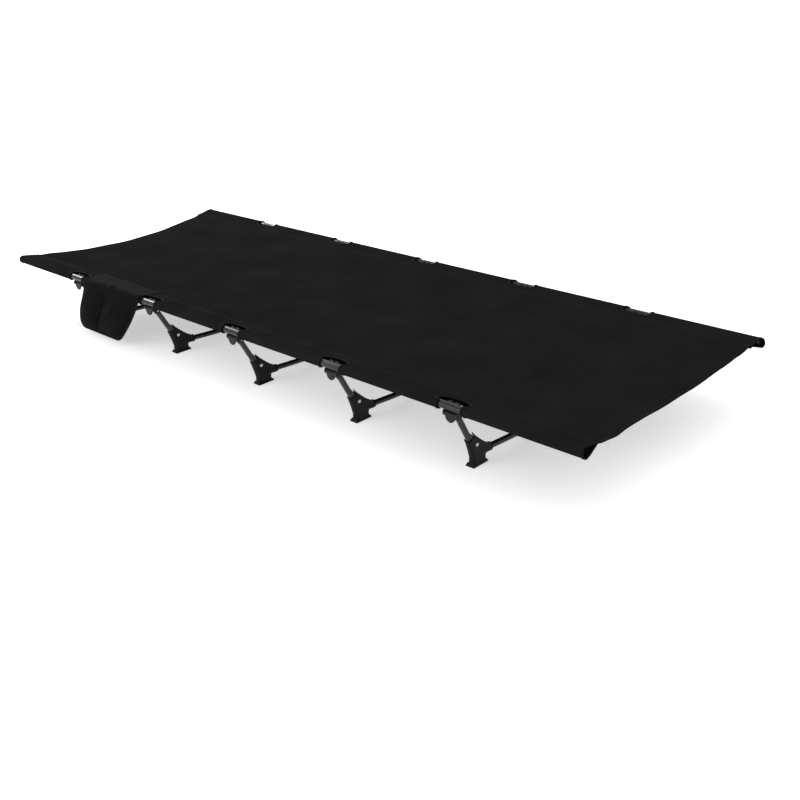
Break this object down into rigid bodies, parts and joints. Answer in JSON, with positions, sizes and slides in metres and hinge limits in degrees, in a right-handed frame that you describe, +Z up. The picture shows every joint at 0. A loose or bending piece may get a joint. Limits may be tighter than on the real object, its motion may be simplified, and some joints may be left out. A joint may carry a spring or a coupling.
{
  "type": "folding cot",
  "caption": "Low folding camping cot: a fabric bed stretched between side rails on short clamp-on leg sets, with a hanging side pocket.",
  "frame": {"origin": "centre of the bounding box on the floor", "axes": "+X along the bed from the head end to the foot end, -Y is the side with the pocket, +Z up"},
  "size_m": [1.9, 0.7168, 0.1624],
  "materials": {
    "bed_fabric": "matte black woven oxford cloth",
    "pocket_fabric": "matte black woven oxford cloth",
    "rail_tube": "black anodised, satin",
    "pole_tube": "dark anodised, satin",
    "hub_plastic": "moulded black nylon",
    "clamp_plastic": "moulded black nylon",
    "lever_plastic": "moulded dark grey nylon",
    "rivet_steel": "bright steel"
  },
  "bodies": {
    "bed": {"bed_fabric": "bed_fabric", "side_pocket": "pocket_fabric", "rail_near": "rail_tube", "rail_far": "rail_tube"},
    "leg_1": {"cross_pole_1": "pole_tube", "hub_1_near": "hub_plastic", "rivet_1_near": "rivet_steel", "hub_1_far": "hub_plastic", "rivet_1_far": "rivet_steel"},
    "strut_1_near": {"strut_1_near": "pole_tube", "clamp_1_near": "clamp_plastic"},
    "lever_1_near": {"lever_1_near": "lever_plastic"},
    "strut_1_far": {"strut_1_far": "pole_tube", "clamp_1_far": "clamp_plastic"},
    "lever_1_far": {"lever_1_far": "lever_plastic"},
    "leg_2": {"cross_pole_2": "pole_tube", "hub_2_near": "hub_plastic", "rivet_2_near": "rivet_steel", "hub_2_far": "hub_plastic", "rivet_2_far": "rivet_steel"},
    "strut_2_near": {"strut_2_near": "pole_tube", "clamp_2_near": "clamp_plastic"},
    "lever_2_near": {"lever_2_near": "lever_plastic"},
    "strut_2_far": {"strut_2_far": "pole_tube", "clamp_2_far": "clamp_plastic"},
    "lever_2_far": {"lever_2_far": "lever_plastic"},
    "leg_3": {"cross_pole_3": "pole_tube", "hub_3_near": "hub_plastic", "rivet_3_near": "rivet_steel", "hub_3_far": "hub_plastic", "rivet_3_far": "rivet_steel"},
    "strut_3_near": {"strut_3_near": "pole_tube", "clamp_3_near": "clamp_plastic"},
    "lever_3_near": {"lever_3_near": "lever_plastic"},
    "strut_3_far": {"strut_3_far": "pole_tube", "clamp_3_far": "clamp_plastic"},
    "lever_3_far": {"lever_3_far": "lever_plastic"},
    "leg_4": {"cross_pole_4": "pole_tube", "hub_4_near": "hub_plastic", "rivet_4_near": "rivet_steel", "hub_4_far": "hub_plastic", "rivet_4_far": "rivet_steel"},
    "strut_4_near": {"strut_4_near": "pole_tube", "clamp_4_near": "clamp_plastic"},
    "lever_4_near": {"lever_4_near": "lever_plastic"},
    "strut_4_far": {"strut_4_far": "pole_tube", "clamp_4_far": "clamp_plastic"},
    "lever_4_far": {"lever_4_far": "lever_plastic"},
    "leg_5": {"cross_pole_5": "pole_tube", "hub_5_near": "hub_plastic", "rivet_5_near": "rivet_steel", "hub_5_far": "hub_plastic", "rivet_5_far": "rivet_steel"},
    "strut_5_near": {"strut_5_near": "pole_tube", "clamp_5_near": "clamp_plastic"},
    "lever_5_near": {"lever_5_near": "lever_plastic"},
    "strut_5_far": {"strut_5_far": "pole_tube", "clamp_5_far": "clamp_plastic"},
    "lever_5_far": {"lever_5_far": "lever_plastic"}
  },
  "joints": [
    {"name": "leg_1_drop", "type": "slide", "parent": "bed", "child": "leg_1", "axis": [0, 0, -1], "range_m": [0, 0.22]},
    {"name": "strut_1_near_fold", "type": "hinge", "parent": "leg_1", "child": "strut_1_near", "pos_m": [-0.654, -0.25395, 0.0485], "axis": [-1, 0, 0], "range_deg": [0, 110]},
    {"name": "lever_1_near_lift", "type": "hinge", "parent": "strut_1_near", "child": "lever_1_near", "pos_m": [-0.654, -0.32195, 0.1358], "axis": [-1, 0, 0], "range_deg": [0, 105]},
    {"name": "strut_1_far_fold", "type": "hinge", "parent": "leg_1", "child": "strut_1_far", "pos_m": [-0.654, 0.28205, 0.0485], "axis": [1, 0, 0], "range_deg": [0, 110]},
    {"name": "lever_1_far_lift", "type": "hinge", "parent": "strut_1_far", "child": "lever_1_far", "pos_m": [-0.654, 0.35005, 0.1358], "axis": [1, 0, 0], "range_deg": [0, 105]},
    {"name": "leg_2_drop", "type": "slide", "parent": "bed", "child": "leg_2", "axis": [0, 0, -1], "range_m": [0, 0.22]},
    {"name": "strut_2_near_fold", "type": "hinge", "parent": "leg_2", "child": "strut_2_near", "pos_m": [-0.327, -0.25395, 0.0485], "axis": [-1, 0, 0], "range_deg": [0, 110]},
    {"name": "lever_2_near_lift", "type": "hinge", "parent": "strut_2_near", "child": "lever_2_near", "pos_m": [-0.327, -0.32195, 0.1358], "axis": [-1, 0, 0], "range_deg": [0, 105]},
    {"name": "strut_2_far_fold", "type": "hinge", "parent": "leg_2", "child": "strut_2_far", "pos_m": [-0.327, 0.28205, 0.0485], "axis": [1, 0, 0], "range_deg": [0, 110]},
    {"name": "lever_2_far_lift", "type": "hinge", "parent": "strut_2_far", "child": "lever_2_far", "pos_m": [-0.327, 0.35005, 0.1358], "axis": [1, 0, 0], "range_deg": [0, 105]},
    {"name": "leg_3_drop", "type": "slide", "parent": "bed", "child": "leg_3", "axis": [0, 0, -1], "range_m": [0, 0.22]},
    {"name": "strut_3_near_fold", "type": "hinge", "parent": "leg_3", "child": "strut_3_near", "pos_m": [0, -0.25395, 0.0485], "axis": [-1, 0, 0], "range_deg": [0, 110]},
    {"name": "lever_3_near_lift", "type": "hinge", "parent": "strut_3_near", "child": "lever_3_near", "pos_m": [0, -0.32195, 0.1358], "axis": [-1, 0, 0], "range_deg": [0, 105]},
    {"name": "strut_3_far_fold", "type": "hinge", "parent": "leg_3", "child": "strut_3_far", "pos_m": [0, 0.28205, 0.0485], "axis": [1, 0, 0], "range_deg": [0, 110]},
    {"name": "lever_3_far_lift", "type": "hinge", "parent": "strut_3_far", "child": "lever_3_far", "pos_m": [0, 0.35005, 0.1358], "axis": [1, 0, 0], "range_deg": [0, 105]},
    {"name": "leg_4_drop", "type": "slide", "parent": "bed", "child": "leg_4", "axis": [0, 0, -1], "range_m": [0, 0.22]},
    {"name": "strut_4_near_fold", "type": "hinge", "parent": "leg_4", "child": "strut_4_near", "pos_m": [0.327, -0.25395, 0.0485], "axis": [-1, 0, 0], "range_deg": [0, 110]},
    {"name": "lever_4_near_lift", "type": "hinge", "parent": "strut_4_near", "child": "lever_4_near", "pos_m": [0.327, -0.32195, 0.1358], "axis": [-1, 0, 0], "range_deg": [0, 105]},
    {"name": "strut_4_far_fold", "type": "hinge", "parent": "leg_4", "child": "strut_4_far", "pos_m": [0.327, 0.28205, 0.0485], "axis": [1, 0, 0], "range_deg": [0, 110]},
    {"name": "lever_4_far_lift", "type": "hinge", "parent": "strut_4_far", "child": "lever_4_far", "pos_m": [0.327, 0.35005, 0.1358], "axis": [1, 0, 0], "range_deg": [0, 105]},
    {"name": "leg_5_drop", "type": "slide", "parent": "bed", "child": "leg_5", "axis": [0, 0, -1], "range_m": [0, 0.22]},
    {"name": "strut_5_near_fold", "type": "hinge", "parent": "leg_5", "child": "strut_5_near", "pos_m": [0.654, -0.25395, 0.0485], "axis": [-1, 0, 0], "range_deg": [0, 110]},
    {"name": "lever_5_near_lift", "type": "hinge", "parent": "strut_5_near", "child": "lever_5_near", "pos_m": [0.654, -0.32195, 0.1358], "axis": [-1, 0, 0], "range_deg": [0, 105]},
    {"name": "strut_5_far_fold", "type": "hinge", "parent": "leg_5", "child": "strut_5_far", "pos_m": [0.654, 0.28205, 0.0485], "axis": [1, 0, 0], "range_deg": [0, 110]},
    {"name": "lever_5_far_lift", "type": "hinge", "parent": "strut_5_far", "child": "lever_5_far", "pos_m": [0.654, 0.35005, 0.1358], "axis": [1, 0, 0], "range_deg": [0, 105]}
  ],
  "couplings": [
    {"joint": "strut_1_near_fold", "follows": "leg_1_drop", "rad_per_m": 8.72},
    {"joint": "strut_1_far_fold", "follows": "leg_1_drop", "rad_per_m": 8.72},
    {"joint": "strut_2_near_fold", "follows": "leg_2_drop", "rad_per_m": 8.72},
    {"joint": "strut_2_far_fold", "follows": "leg_2_drop", "rad_per_m": 8.72},
    {"joint": "strut_3_near_fold", "follows": "leg_3_drop", "rad_per_m": 8.72},
    {"joint": "strut_3_far_fold", "follows": "leg_3_drop", "rad_per_m": 8.72},
    {"joint": "strut_4_near_fold", "follows": "leg_4_drop", "rad_per_m": 8.72},
    {"joint": "strut_4_far_fold", "follows": "leg_4_drop", "rad_per_m": 8.72},
    {"joint": "strut_5_near_fold", "follows": "leg_5_drop", "rad_per_m": 8.72},
    {"joint": "strut_5_far_fold", "follows": "leg_5_drop", "rad_per_m": 8.72}
  ]
}
